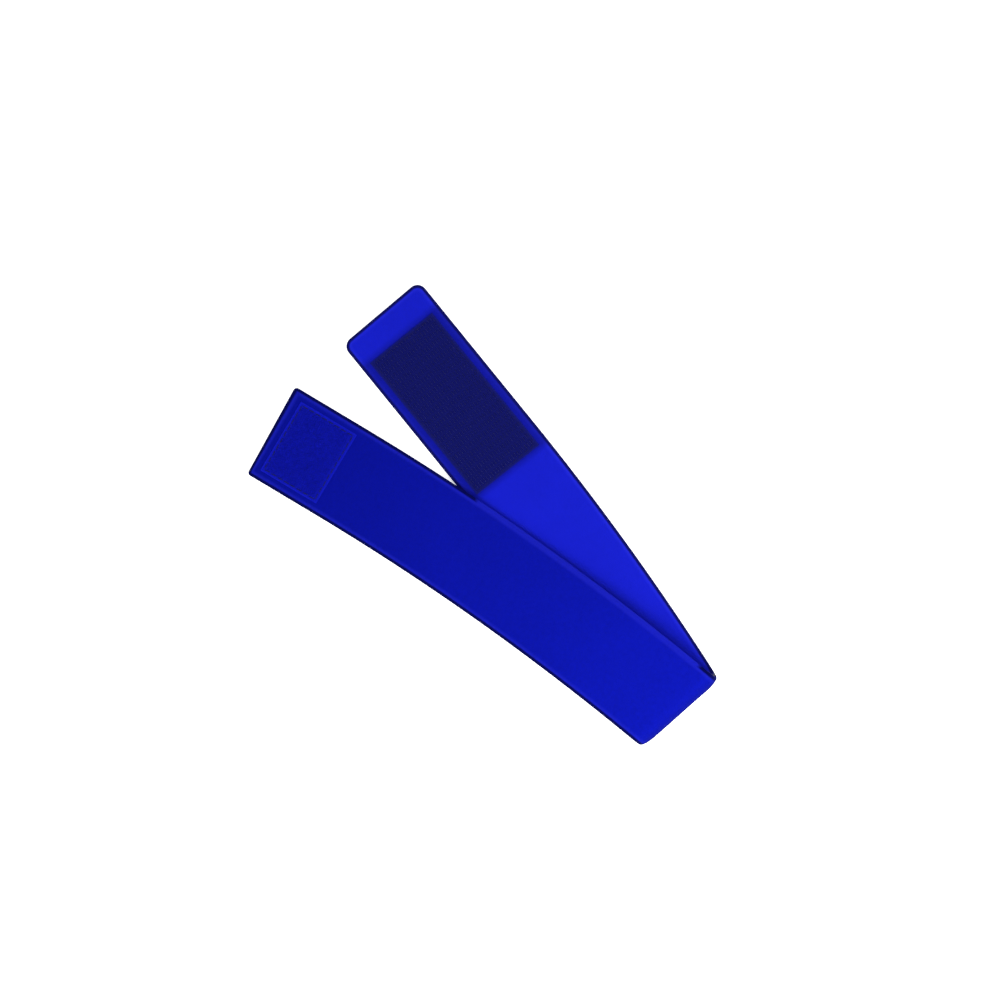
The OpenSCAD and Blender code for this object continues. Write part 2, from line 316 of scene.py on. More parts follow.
    def inset(self, q, v):
        """How far a point is from the nearest cut edge."""
        side = self.half_w - np.abs(v)
        best = side
        for r, depth in self.ends(q):
            corner = r - np.hypot(np.clip(r - depth, 0, None), np.clip(r - side, 0, None))
            best = np.minimum(best, np.where((depth < r) & (side < r), corner, depth))
        return np.maximum(best, 0)

    def way(self, zone):
        """The direction in which q grows, where a zone bends at its joint."""
        if zone in ("hook_end", "loop_end"):
            first, bow, _run, side = self.legs["lower" if zone == "hook_end" else "upper"]
            return Vector((*(-side * heading(first + bow)), 0))
        slope = math.radians(45 if zone == "lower" else 135)
        return Vector((*(self.out_dir * math.cos(slope)), math.sin(slope)))

    def tab_matrix(self, q, h, face_up):
        """Puts a small thing on a flat tab: its x runs towards the tab's free end."""
        towards = -1 if q < 0 else 1
        places = self.lay([q, q + towards], [0, 0], [h, h])
        along = Vector(places[1] - places[0]).normalized()
        up = Vector((0, 0, 1 if face_up else -1))
        turned = Matrix((along, up.cross(along), up)).transposed().to_4x4()
        return Matrix.Translation(Vector(places[0])) @ turned @ Matrix.Scale(MM, 4)


class Tape:
    """A tape sewn on a tab: where it lies and where its seam runs."""

    HOLE_SHARE = 0.22  # the share of a seam's depth that follows its needle holes
    STEP = 0.8  # the strap's face steps down under the tape over this width
    TIGHT = 0.6  # a seam draws the firm tape in this much as deep as the strap

    def __init__(self, strap, end):
        s = sizes()
        self.strap, self.hook = strap, end == "hook"
        self.l, self.w, self.base_t, self.pile_h, setback = (
            getattr(s, f"{end}_{key}") for key in ("l", "w", "base_t", "h", "setback")
        )
        edge = strap.hook_end + setback if self.hook else strap.loop_end - setback
        self.q = edge + self.l / 2 if self.hook else edge - self.l / 2
        self.half_l, self.half_w = self.l / 2, self.w / 2
        self.seam_l = self.half_l - s.seam_inset
        self.seam_w = self.half_w - s.seam_inset
        self.side = 1 if self.hook else -1  # the hook tape is on the inner face

    def box_distance(self, q, v, half_l, half_w):
        """Distance to a rectangle's outline, less than 0 inside it."""
        dx, dy = np.abs(q - self.q) - half_l, np.abs(v) - half_w
        outside = np.hypot(np.maximum(dx, 0), np.maximum(dy, 0))
        return outside + np.minimum(np.maximum(dx, dy), 0)

    def seam_depth(self, q, v, reach=0.75):
        """How far the seam draws a face in: most at each needle hole."""
        off = self.box_distance(q, v, self.seam_l, self.seam_w)
        dx, dy = np.abs(q - self.q) - self.seam_l, np.abs(v) - self.seam_w
        place = np.where(np.abs(dx) < np.abs(dy), v - self.seam_w, q - self.q + self.seam_l)
        wave = np.cos(2 * np.pi * place / sizes().stitch)
        hole = 1 - self.HOLE_SHARE + self.HOLE_SHARE * wave
        return lie().seam_pull * hole * np.exp(-((off / reach) ** 2))

    def press(self, q, v):
        """1 under the tape and 0 away from it, with a soft step at its edge."""
        return 1 - ease(self.box_distance(q, v, self.half_l, self.half_w) / self.STEP + 0.5)


def dents(q, v, seed):
    """Soft dents, from 0 to 1, as worked foam shows them."""
    # Each wave: its pitch along the strap, its turn from middle to edge, and its start.
    waves = [(31, 4.1, 0.3), (17, -3.2, 1.9), (11, 2.3, 4.4), (7.3, -6.5, 2.6)]
    across = v / 20
    total = sum(
        np.sin(2 * np.pi * q / pitch + lean * across + start * seed)
        for pitch, lean, start in waves
    )
    return 0.5 + total / (2 * len(waves))


class Relief:
    """The height of each face of each bonded layer, with edges, seams and dents."""

    EDGE_RUN = 2.1  # the cut edges are pressed in over this width
    EDGE_STEEP = 0.98  # 1 would press the cut edge in with an upright step
    SUNK = 0.12  # a tape sinks this far into the face it is sewn on
    UNDER_TAPE = 0.5  # edges, seams and dents fade by this share under a tape

    def __init__(self, strap):
        self.strap, self.t = strap, strap.t
        self.tapes = [Tape(strap, "hook"), Tape(strap, "loop")]

    def drop(self, q, v, face):
        """How far a face (1 inner, -1 outer) lies below its flat height."""
        near = np.clip(1 - self.strap.inset(q, v) / self.EDGE_RUN, 0, 1)
        depth = lie().edge_round * (1 - np.sqrt(1 - near**2 * self.EDGE_STEEP))
        depth = depth + lie().dent * dents(q, v, 2 + face)
        for tape in self.tapes:
            depth = depth + tape.seam_depth(q, v)
            if tape.side == face:
                press = tape.press(q, v)
                depth = depth * (1 - self.UNDER_TAPE * press) + self.SUNK * press
        return depth

    def height(self, q, v, level):
        """The height of a boundary: outer, outer_glue, inner_glue or inner."""
        s = sizes()
        face = 1 if level.startswith("inner") else -1
        cloth = {"outer_glue": s.outer_t, "inner_glue": s.inner_t}.get(level, 0)
        return face * (self.t / 2 - self.drop(q, v, face) - cloth)


# ---- modelling helpers


def only(*objects):
    """Selects these objects and nothing else."""
    if bpy.context.object and bpy.context.object.mode != "OBJECT":
        bpy.ops.object.mode_set(mode="OBJECT")
    bpy.ops.object.select_all(action="DESELECT")
    for item in objects:
        item.select_set(True)
    if objects:
        bpy.context.view_layer.objects.active = objects[0]


def points_of(item):
    co = np.empty(len(item.data.vertices) * 3)
    item.data.vertices.foreach_get("co", co)
    return co.reshape(-1, 3)


def set_points(item, co):
    item.data.vertices.foreach_set("co", np.ascontiguousarray(co, dtype=np.float32).ravel())
    item.data.update()


def outward(item):
    """Turns every face outwards."""
    only(item)
    bpy.ops.object.mode_set(mode="EDIT")
    bpy.ops.mesh.select_all(action="SELECT")
    bpy.ops.mesh.normals_make_consistent(inside=False)
    bpy.ops.object.mode_set(mode="OBJECT")


def smooth(item, degrees=38):
    only(item)
    bpy.ops.object.shade_smooth_by_angle(angle=math.radians(degrees))


def cut_sheet(name, rows, columns):
    """A flat sheet with two faces and a rim, one unit each way, rows along x."""
    only()
    bpy.ops.mesh.primitive_grid_add(x_subdivisions=rows, y_subdivisions=columns, size=1)
    sheet = bpy.context.object
    sheet.name = sheet.data.name = name
    bpy.ops.object.mode_set(mode="EDIT")
    bpy.ops.mesh.select_all(action="SELECT")
    bpy.ops.mesh.extrude_region_move(TRANSFORM_OT_translate={"value": (0, 0, 1)})
    bpy.ops.object.mode_set(mode="OBJECT")
    outward(sheet)
    return sheet


def set_cloth_map(item, u, v):
    """The piece's UV map is its place on the flat cloth, in millimetres."""
    corner = np.empty(len(item.data.loops), dtype=np.int32)
    item.data.loops.foreach_get("vertex_index", corner)
    uv = np.column_stack([u, v])[corner]
    item.data.uv_layers[0].data.foreach_set("uv", uv.astype(np.float32).ravel())


def set_amount(item, name, amount):
    """Gives each point an amount from 0 to 1, such as how near a cut edge it is."""
    layer = item.data.attributes.new(name, "FLOAT", "POINT")
    layer.data.foreach_set("value", amount.astype(np.float32))


def crowded(t, share=0.72):
    """Spreads -1 to 1 so that the lines crowd towards both ends."""
    return (1 - share) * t + share * np.sin(np.pi / 2 * t)


def end_stations(end, towards, depth, count):
    """Stations near a cut end, closest together at the end itself."""
    t = 1 - np.cos(np.linspace(0, np.pi / 2, count + 1))
    return end + towards * depth * t


def even(first, last, step):
    return np.linspace(first, last, max(2, round(abs(last - first) / step) + 1))


def joined(*runs):
    """One rising list of stations, with no place twice."""
    return np.unique(np.round(np.concatenate(runs), 4))


RIM_RUN = 3.0  # how far in from a cut edge its painted highlight and painted shade reach
FOLD_SHADE_RUN = 6.0  # how far from the fold line the cloth is painted darker: painted shade where it turns from the light
FOLD_SHADE_FADE = 1.5  # above 1, the painted shade gathers at the fold line
LAPPED = (7.0, 121.0)  # where the upper leg's edge lies over the lower leg
LAPPED_FADE = 6.0  # that run begins and ends over this length
LAPPED_LOSS = 0.6  # how much of its rim such an edge loses: it catches the light, so it keeps its painted highlight but not its painted edge shade
BESIDE_TAPE = 0.55  # how dark the painted shade beside a long tape is, against the painted shade at the fold line
ZONE_SPLIT = (-66.0, 92.0)  # the legs are parted here, clear of every joint


def rim_of(strap, q, v):
    """The rim's strength, which carries the painted edge highlight and shade: full at a cut
    edge, less where the edge lies over the other leg.
    """
    rim = np.clip(1 - strap.inset(q, v) / RIM_RUN, 0, 1)
    lapped = np.clip(np.minimum(q - LAPPED[0], LAPPED[1] - q) / LAPPED_FADE, 0, 1)
    return np.minimum(rim, 1 - LAPPED_LOSS * lapped * (v > 0))


def beside_tape(tape, q):
    """Painted shade on the cloth beside a long tape, between its seam and the cut edge, along
    the tape's length.
    """
    return BESIDE_TAPE * np.clip(1 - (np.abs(q - tape.q) - tape.half_l) / RIM_RUN, 0, 1)


def strap_piece(name, strap, relief, stations, columns, low, high, indent):
    """One stretch of one bonded layer, from its flat cut to the way it lies."""
    rows = len(stations) - 1
    piece = cut_sheet(name, rows, columns)
    co = points_of(piece)
    q = stations[np.rint((co[:, 0] + 0.5) * rows).astype(int)]
    wide = strap.end_half_width(q) - indent
    v = wide * crowded(2 * co[:, 1])
    bottom, top = relief.height(q, v, low), relief.height(q, v, high)
    h = np.where(co[:, 2] < 0.5, bottom, top)
    for end, towards in ((strap.hook_end, 1), (strap.loop_end, -1)):
        q = np.where(np.abs(q - end) < indent, end + towards * indent, q)
    set_cloth_map(piece, strap.flat(q, v), v)
    # the rim carries painted light: a painted highlight inside each cut edge and painted shade
    # at the very edge
    set_amount(piece, "rim", rim_of(strap, q, v))
    # painted shade at the fold line, where the cloth turns away from the light
    painted_shade = np.clip(1 - np.abs(q) / FOLD_SHADE_RUN, 0, 1) ** FOLD_SHADE_FADE
    # and, on the inner cloth, painted shade beside the hook tape
    if high == "inner":
        painted_shade = np.maximum(painted_shade, beside_tape(relief.tapes[0], q))
    set_amount(piece, "painted_shade", painted_shade)
    set_points(piece, strap.lay(strap.slanted(q, v), v, h))
    smooth(piece)
    return piece


def zone_stations(strap, zone, fine):
    """Stations of one stretch. fine is the spacing on its straight parts, in mm."""
    lower, upper = ZONE_SPLIT
    coarse = fine * 1.4
    bend = math.radians(90) / 40 * strap.fold_r
    if zone == "hook_end":
        edge = end_stations(strap.hook_end, 1, depth=5, count=16)
        return joined(edge, even(edge[-1], lower, fine))
    if zone == "lower":
        return joined(even(lower, -strap.fold_use, coarse), even(-strap.fold_use, 0, bend))
    if zone == "upper":
        return joined(even(0, strap.fold_use, bend), even(strap.fold_use, upper, coarse))
    edge = end_stations(strap.loop_end, -1, depth=3, count=14)
    return joined(even(upper, edge[-1], fine), edge)


ZONE_BENDS = {  # joint, the bodies before and after it, and how far the bend runs back and on
    "hook_end": ("hook_tab_flex", "hook_tab", "lower_leg", 5, 5),
    "lower": ("fold_lower", "lower_leg", "fold_link", 4.2, 2.35),
    "upper": ("fold_upper", "fold_link", "upper_leg", 2.35, 4.2),
    "loop_end": ("loop_tab_flex", "upper_leg", "loop_tab", 5, 5),
}


def bend_with_joint(piece, zone, strap):
    """Bakes the piece's placement into its mesh; the zone's joint and bend are looked up but not
    used.
    """
    joint, before, after, back, on = ZONE_BENDS[zone]
    centre, way = Vector(JOINTS[joint]["pos_m"]), strap.way(zone) * MM
    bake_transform(piece)


ZONE_NODES = {
    "hook_end": ["hook_tab"],
    "lower": ["lower"],
    "upper": ["fold", "upper"],
    "loop_end": ["loop_tab"],
}


def build_layer(layer, low, high, finish, columns=80, fine=0.8, indent=0):
    """The four stretches of one bonded layer, each with its zone and its length."""
    strap = Strap()
    relief = Relief(strap)
    pieces = []
    for zone, stems in ZONE_NODES.items():
        stations = zone_stations(strap, zone, fine)
        name = f"{layer}_{zone}"
        piece = strap_piece(name, strap, relief, stations, columns, low, high, indent)
        piece.data.materials.append(finish)
        bend_with_joint(piece, zone, strap)
        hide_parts(*(f"{stem}_{layer}" for stem in stems))
        pieces.append((piece, zone, stations[-1] - stations[0]))
    return pieces


def declare_cloth(pieces):
    """Works out the strap's width and, for each stretch, whether it is folded or laid, but keeps
    none of it.
    """
    width = sizes().width * MM
    for piece, zone, run in pieces:
        held = "folded" if zone in ("lower", "upper") else "laid"


# ---- repeated small things


def bent_rod(name, radius, sides, stem, bend_r, degrees, back=0):
    """A rod in millimetres that stands on the origin and bends over towards +x."""
    only()
    bpy.ops.mesh.primitive_circle_add(vertices=sides, radius=radius, fill_type="NGON")
    rod = bpy.context.object
    rod.name = name
    bpy.ops.object.mode_set(mode="EDIT")
    bpy.ops.mesh.select_all(action="SELECT")
    bpy.ops.mesh.extrude_region_move(TRANSFORM_OT_translate={"value": (0, 0, stem)})
    turned = math.radians(degrees)
    bpy.ops.mesh.spin(steps=5, angle=turned, center=(bend_r, 0, stem), axis=(0, 1, 0))
    if back:
        bpy.ops.mesh.extrude_region_move(TRANSFORM_OT_translate={"value": (0, 0, -back)})
    outward(rod)
    smooth(rod, 80)
    return rod


def hook_model(height):
    """One hook: a plastic filament, bent over past level."""
    radius, bend_r = 0.11, 0.27
    return bent_rod("hook_model", radius, 5, height - bend_r - radius, bend_r, 205)


LOOP_R = 0.36  # the bend of a loop of pile


def loop_model(height):
    """One loop of pile: a soft arch of yarn, standing along x."""
    stem = height - LOOP_R
    return bent_rod("loop_model", 0.085, 4, stem, LOOP_R, 180, back=stem)


def stitch_model(length, thickness):
    """One stitch: a grain of thread along x whose two ends dip into the cloth."""
    only()
    bpy.ops.mesh.primitive_uv_sphere_add(segments=8, ring_count=8, radius=0.5)
    grain = bpy.context.object
    grain.name = "stitch_model"
    co = points_of(grain)
    along = co[:, 2] * 2
    full = np.sqrt(np.clip(1 - along**2, 0, 1))
    blunt = np.sqrt(np.clip(1 - along**4, 0, 1))
    wide = thickness * np.divide(blunt, full, where=full > 0, out=full * 0)
    dip = 0.75 * thickness * along**2
    x, y, z = along * length / 2, co[:, 0] * wide, co[:, 1] * wide - dip
    set_points(grain, np.column_stack([x, y, z]))
    outward(grain)
    only(grain)
    bpy.ops.object.shade_smooth()
    return grain


def copied(model, name, places):
    """Copies a model to every place, each with its own mesh, as one piece."""
    copies = []
    for place in places:
        item = model.copy()
        item.data = model.data.copy()
        item.data.transform(place)
        bpy.context.collection.objects.link(item)
        copies.append(item)
    only(*copies)
    bpy.ops.object.join()
    piece = bpy.context.object
    piece.name = piece.data.name = name
    bpy.data.objects.remove(model)
    return piece


WANDER = 0.05  # a stitch lies up to this far off its seam
SLANT = (2, 7)  # and turned by this many degrees, least and most


def seam_places(tape, base, face_height):
    """Where each stitch lies, along the four sides of a tape's seam."""
    l, w = tape.seam_l, tape.seam_w
    corners = [(-l, -w), (l, -w), (l, w), (-l, w)]
    places = []
    chance = random.Random(11)
    for (x0, y0), (x1, y1) in zip(corners, corners[1:] + corners[:1]):
        dx, dy = x1 - x0, y1 - y0
        count = round(math.hypot(dx, dy) / sizes().stitch)
        angle = math.atan2(dy, dx)
        for i in range(count):
            t = (i + 0.5) / count
            x, y = x0 + dx * t, y0 + dy * t
            wander = Matrix.Translation((0, chance.uniform(-WANDER, WANDER), 0))
            slant = Matrix.Rotation(angle + math.radians(chance.uniform(*SLANT)), 4, "Z")
            places.append(base @ Matrix.Translation((x, y, face_height)) @ slant @ wander)
    return places


def put_on_tab(piece, tape, finish):
    """A piece that is sewn on a tab gets its finish, and its placement is baked as the tab's
    cloth is.
    """
    piece.data.materials.append(finish)
    bend_with_joint(piece, "hook_end" if tape.hook else "loop_end", tape.strap)


# ---- materials


class Nodes:
    """A short way to lay out a material's nodes."""

    def __init__(self, name):
        self.material = bpy.data.materials.new(name)
        self.material.use_nodes = True
        self.tree = self.material.node_tree
        self.shader = self.tree.nodes["Principled BSDF"]

    def add(self, kind, settings=(), **inputs):
        node = self.tree.nodes.new(kind)
        for key, value in dict(settings).items():
            setattr(node, key, value)
        for key, value in inputs.items():
            self.feed(node.inputs[key.replace("_", " ")], value)
        return node

    def feed(self, socket, value):
        if isinstance(value, bpy.types.NodeSocket):
            self.tree.links.new(value, socket)
        else:
            socket.default_value = value

    def math(self, operation, first, second=0.0, third=0.0):
        node = self.tree.nodes.new("ShaderNodeMath")
        node.operation = operation
        for socket, value in zip(node.inputs, (first, second, third)):
            self.feed(socket, value)
        return node.outputs[0]

    def mix(self, factor, first, second, blend="MIX"):
        node = self.tree.nodes.new("ShaderNodeMix")
        node.data_type, node.blend_type = "RGBA", blend
        self.feed(node.inputs["Factor"], factor)
        for socket, value in zip(node.inputs[6:8], (first, second)):
            self.feed(socket, value)
        return node.outputs[2]

    def noise(self, vector, scale, detail=4.0, roughness=0.55):
        """Noise from 0 to 1. scale is in waves per mm of cloth, or per metre of object."""
        node = self.add(
            "ShaderNodeTexNoise", Vector=vector, Scale=scale, Detail=detail, Roughness=roughness
        )
        return node.outputs["Fac"]

    def between(self, value, low, high, to_low=0.0, to_high=1.0):
        node = self.tree.nodes.new("ShaderNodeMapRange")
        for socket, number in zip(node.inputs, (value, low, high, to_low, to_high)):
            self.feed(socket, number)
        return node.outputs[0]

    def cloth_place(self):
        """The piece's own UV map: millimetres on the flat cloth."""
        return self.add("ShaderNodeTexCoord").outputs["UV"]

    def object_place(self):
        return self.add("ShaderNodeTexCoord").outputs["Object"]

    def stretched(self, vector, x, y, z=1.0):
        return self.add("ShaderNodeMapping", Vector=vector, Scale=(x, y, z)).outputs[0]

    def finish(self, base, roughness, heights, sheen=0.0, tint=(1, 1, 1), specular=0.5):
        """Joins the parts to the shader. heights are (height, depth in metres)."""
        self.feed(self.shader.inputs["Base Color"], base)
        self.feed(self.shader.inputs["Roughness"], roughness)
        self.shader.inputs["Specular IOR Level"].default_value = specular
        self.shader.inputs["Sheen Weight"].default_value = sheen
        self.shader.inputs["Sheen Roughness"].default_value = 0.45
        self.shader.inputs["Sheen Tint"].default_value = (*tint, 1)
        normal = None
        for height, depth in heights:
            bump = self.add("ShaderNodeBump", Height=height, Distance=depth, Strength=1.0)
            if normal is not None:
                self.feed(bump.inputs["Normal"], normal)
            normal = bump.outputs[0]
        self.feed(self.shader.inputs["Normal"], normal)
        return self.material


def shades(base, amount):
    """A darker and a lighter shade of a colour."""
    return tuple((*(c * k for c in base), 1.0) for k in (1 - amount, 1 + amount))


def knit_height(nodes, place, wale, course):
    """Rows of small V stitches, wale mm across and course mm along."""
    parts = nodes.add("ShaderNodeSeparateXYZ", Vector=place)
    across = nodes.math("DIVIDE", parts.outputs["Y"], wale)
    along = nodes.math("DIVIDE", parts.outputs["X"], course)
    lean = nodes.math("PINGPONG", across, 0.5)
    phase = nodes.math("ADD", along, nodes.math("MULTIPLY", lean, 1.3))
    rows = nodes.math("SINE", nodes.math("MULTIPLY", phase, 2 * math.pi))
    column = nodes.math("SINE", nodes.math("MULTIPLY", lean, 2 * math.pi))
    return nodes.math("MULTIPLY_ADD", rows, 0.35, nodes.math("MULTIPLY", column, 0.65))


def weave_height(nodes, place, warp, weft):
    """A plain weave: warp and weft threads that pass over each other in turn."""
    parts = nodes.add("ShaderNodeSeparateXYZ", Vector=place)
    x = nodes.math("MULTIPLY", parts.outputs["X"], math.pi / weft)
    y = nodes.math("MULTIPLY", parts.outputs["Y"], math.pi / warp)
    checks = nodes.math("MULTIPLY", nodes.math("SINE", x), nodes.math("SINE", y))
    ribs = nodes.math("ABSOLUTE", nodes.math("COSINE", x))
    return nodes.math("MULTIPLY_ADD", checks, 0.6, nodes.math("MULTIPLY", ribs, -0.4))


def amount(nodes, name):
    return nodes.add("ShaderNodeAttribute", {"attribute_name": name}).outputs["Fac"]


def cloth_base(nodes, place, base, grain, spread=0.16):
    """Cloth colour: grain and slow changes, and painted light: a painted shade over the far
    half, a painted highlight inside the cut edges, and painted shade at the very edges, at the
    fold line and beside the hook tape.
    """
    shade = nodes.mix(grain, *shades(base, spread))
    slow = nodes.between(nodes.noise(place, 0.035, 3.0), 0.3, 0.7, 0.0, 0.35)
    shade = nodes.mix(slow, shade, shades(base, 0.3)[1])
    along = nodes.add("ShaderNodeSeparateXYZ", Vector=place).outputs["X"]
    # painted shade: darker over the far half, towards the loop end, in place of the light
    # falling off away from the fold
    painted_falloff = nodes.between(along, 200.0, 400.0, 0.0, 0.85)
    shade = nodes.mix(painted_falloff, shade, shades(base, 0.38)[0])
    rim = amount(nodes, "rim")
    # painted highlight: a lighter band just inside each cut edge, where the rounded edge catches
    # the light
    sheen_and_wear = nodes.math("MULTIPLY", nodes.between(rim, 0.05, 0.4), 0.5)
    shade = nodes.mix(sheen_and_wear, shade, (*(c * 1.3 + 0.006 for c in base), 1.0))
    # painted shade: the very edge darker, where the rounded cut edge turns away from the light
    painted_edge_shade = nodes.between(rim, 0.5, 0.68, 0.0, 0.95)
    shade = nodes.mix(painted_edge_shade, shade, shades(base, 0.86)[0])
    # painted shade at the fold line and beside the hook tape
    painted_shade = nodes.math("MULTIPLY", amount(nodes, "painted_shade"), 0.9)
    return nodes.mix(painted_shade, shade, shades(base, 0.8)[0])


def brushed_knit(base):
    """The outer face: a knit whose surface is brushed up into a short nap."""
    nodes = Nodes("brushed_knit")
    place = nodes.cloth_place()
    nap = nodes.noise(nodes.stretched(place, 0.9, 2.6), 1.6, 6.0, 0.7)
    tufts = nodes.noise(place, 0.55, 3.0)
    knit = knit_height(nodes, place, 0.9, 0.8)
    fuzz = nodes.math("MULTIPLY_ADD", tufts, 0.6, nodes.math("MULTIPLY", nap, 0.5))
    grain = nodes.between(fuzz, 0.3, 0.8)
    heights = [(knit, 0.00006), (tufts, 0.0003), (nap, 0.00022)]
    rough = nodes.between(nap, 0.2, 0.8, 0.78, 0.95)
    shade = cloth_base(nodes, place, base, grain)
    return nodes.finish(shade, rough, heights, sheen=0.10, tint=(0.04, 0.07, 1.0), specular=0.02)


def smooth_knit(base):
    """The inner face: a fine smooth jersey."""
    nodes = Nodes("smooth_knit")
    place = nodes.cloth_place()
    knit = knit_height(nodes, place, 0.75, 0.62)
    fibre = nodes.noise(nodes.stretched(place, 1.0, 3.0), 2.4, 5.0, 0.65)
    grain = nodes.between(nodes.math("MULTIPLY_ADD", knit, 0.25, fibre), 0.25, 0.85)
    heights = [(knit, 0.00011), (fibre, 0.00008)]
    rough = nodes.between(fibre, 0.2, 0.8, 0.62, 0.8)
    shade = cloth_base(nodes, place, base, grain, spread=0.12)
    return nodes.finish(shade, rough, heights, sheen=0.10, tint=(0.06, 0.09, 1.0), specular=0.04)


def cell_foam(base):
    """The foam core, seen at the cut edges: fine closed cells."""
    nodes = Nodes("cell_foam")
    place = nodes.object_place()
    cells = nodes.add("ShaderNodeTexVoronoi", Vector=place, Scale=2600.0).outputs["Distance"]
    slow = nodes.noise(place, 900.0, 3.0)
    shade = nodes.mix(nodes.between(cells, 0.1, 0.7), *shades(base, 0.45))
    rough = nodes.between(slow, 0.3, 0.7, 0.82, 0.96)
    return nodes.finish(shade, rough, [(slow, 0.0002), (cells, 0.00012)], specular=0.3)


def woven_tape(name, base, warp=0.42, weft=0.5):
    """A tape's ground: a tight plain weave with a firmer selvedge."""
    nodes = Nodes(name)
    place = nodes.cloth_place()
    weave = weave_height(nodes, place, warp, weft)
    fibre = nodes.noise(nodes.stretched(place, 3.0, 3.0), 2.0, 4.0, 0.6)
    grain = nodes.between(nodes.math("MULTIPLY_ADD", weave, 0.35, fibre), 0.2, 0.9)
    shade = nodes.mix(grain, *shades(base, 0.28))
    sheen_and_wear = nodes.math("MULTIPLY", nodes.math("POWER", amount(nodes, "rim"), 2.0), 0.35)
    shade = nodes.mix(sheen_and_wear, shade, shades(base, 0.9)[1])
    rough = nodes.between(fibre, 0.2, 0.8, 0.55, 0.75)
    heights = [(weave, 0.00016), (fibre, 0.00006)]
    return nodes.finish(shade, rough, heights, sheen=0.04, tint=(0.05, 0.07, 1.0), specular=0.04)


def strands(name, base, scales, spread, rough, depth, **looks):
    """Hooks or loops: all alike, each of its own shade, and finely uneven."""
    nodes = Nodes(name)
    place = nodes.object_place()
    each = nodes.noise(place, scales[0], 2.0)
    fine = nodes.noise(place, scales[1], 3.0)
    shade = nodes.mix(nodes.between(each, 0.3, 0.7), *shades(base, spread))
    return nodes.finish(shade, nodes.between(fine, 0.3, 0.7, *rough), [(fine, depth)], **looks)


def filament(base):
    """The hooks: smooth nylon filament."""
    scales, rough = (700.0, 6000.0), (0.32, 0.5)
    return strands("hook_filament", base, scales, 0.35, rough, 0.00002, specular=0.14)


def pile_yarn(base):
    """The loops: soft crimped yarn."""
    looks = {"sheen": 0.12, "tint": (0.04, 0.07, 1.0), "specular": 0.03}
    return strands("loop_yarn", base, (500.0, 7000.0), 0.22, (0.7, 0.9), 0.00004, **looks)


def twisted_thread(base):
    """Sewing thread: plies that wind round it, on each stitch's own UV map."""
    nodes = Nodes("twisted_thread")
    parts = nodes.add("ShaderNodeSeparateXYZ", Vector=nodes.cloth_place())
    around = nodes.math("MULTIPLY", parts.outputs["X"], 3.0)
    along = nodes.math("MULTIPLY", parts.outputs["Y"], 9.0)
    ply = nodes.math("PINGPONG", nodes.math("ADD", around, along), 0.5)
    fibre = nodes.noise(nodes.object_place(), 5000.0, 3.0)
    shade = nodes.mix(nodes.between(ply, 0.05, 0.45), *shades(base, 0.35))
    rough = nodes.between(fibre, 0.3, 0.7, 0.5, 0.7)
    heights = [(ply, 0.00012), (fibre, 0.00003)]
    return nodes.finish(shade, rough, heights, sheen=0.05, tint=(0.1, 0.15, 1.0), specular=0.08)


def table_top(base):
    """The pale floor: a white light table, smooth, with the faintest unevenness."""
    nodes = Nodes("table_top")
    place = nodes.object_place()
    shade = nodes.mix(nodes.noise(place, 3.0, 3.0), *shades(base, 0.01))
    nodes.shader.inputs["Emission Color"].default_value = (1, 1, 1, 1)
    nodes.shader.inputs["Emission Strength"].default_value = 0.6
    return nodes.finish(shade, 0.85, [(nodes.noise(place, 400.0), 0.00002)], specular=0.2)


# ---- operators


class STRAP_OT_stage(Operator):
    """Sets the camera, the lights and the floor."""

    bl_idname = "strap.stage"
    bl_label = "Stage"

    CAMERA_HEIGHT = 2.0
    VIEW_WIDTH = 0.4011  # how much of the table the square view takes in
    VIEW_TURN = 43.7  # degrees: the view's right is this far round from +X
    LOOK_AT = (-0.0114, 0.0108)
    DAYLIGHT = 0.75  # the strength of the white surroundings
    LAMPS = {  # place, width in metres, power in watts
        "key": ((0.34, -0.10, 0.42), 0.25, 3.2),
        "fill": ((-0.55, 0.75, 1.1), 0.9, 5.0),
        "top": ((0.0, 0.0, 1.6), 1.0, 8.0),
    }
    FLOOR_SIZE = 6
    FLOOR_GAP = 0.00005  # the floor lies this far under the strap

    def execute(self, context):
        self.camera()
        self.lights()
        self.floor()
        return {"FINISHED"}

    def camera(self):
        data = bpy.data.cameras.new("camera")
        data.sensor_width = 36
        data.lens = data.sensor_width * self.CAMERA_HEIGHT / self.VIEW_WIDTH
        camera = bpy.data.objects.new("camera", data)
        camera.location = (*self.LOOK_AT, self.CAMERA_HEIGHT)
        camera.rotation_euler = (0, 0, math.radians(self.VIEW_TURN))
        bpy.context.collection.objects.link(camera)
        bpy.context.scene.camera = camera

    def lights(self):
        scene = bpy.context.scene
        scene.view_settings.view_transform = "Standard"
        world = bpy.data.worlds.new("studio")
        world.use_nodes = True
        background = world.node_tree.nodes["Background"].inputs
        background["Color"].default_value = (1, 1, 1, 1)
        background["Strength"].default_value = self.DAYLIGHT
        scene.world = world
        for name, (place, width, power) in self.LAMPS.items():
            self.lamp(name, Vector(place), width, power)

    def lamp(self, name, place, width, power):
        data = bpy.data.lights.new(name, "AREA")
        data.size, data.energy = width, power
        lamp = bpy.data.objects.new(name, data)
        lamp.location = place
        lamp.rotation_euler = (-place).to_track_quat("-Z", "Y").to_euler()
        bpy.context.collection.objects.link(lamp)

    def floor(self):
        only()
        bpy.ops.mesh.primitive_plane_add(size=self.FLOOR_SIZE, location=(0, 0, -self.FLOOR_GAP))
        floor = bpy.context.object
        floor.name = "floor"
        floor.data.materials.append(table_top(colours().floor))


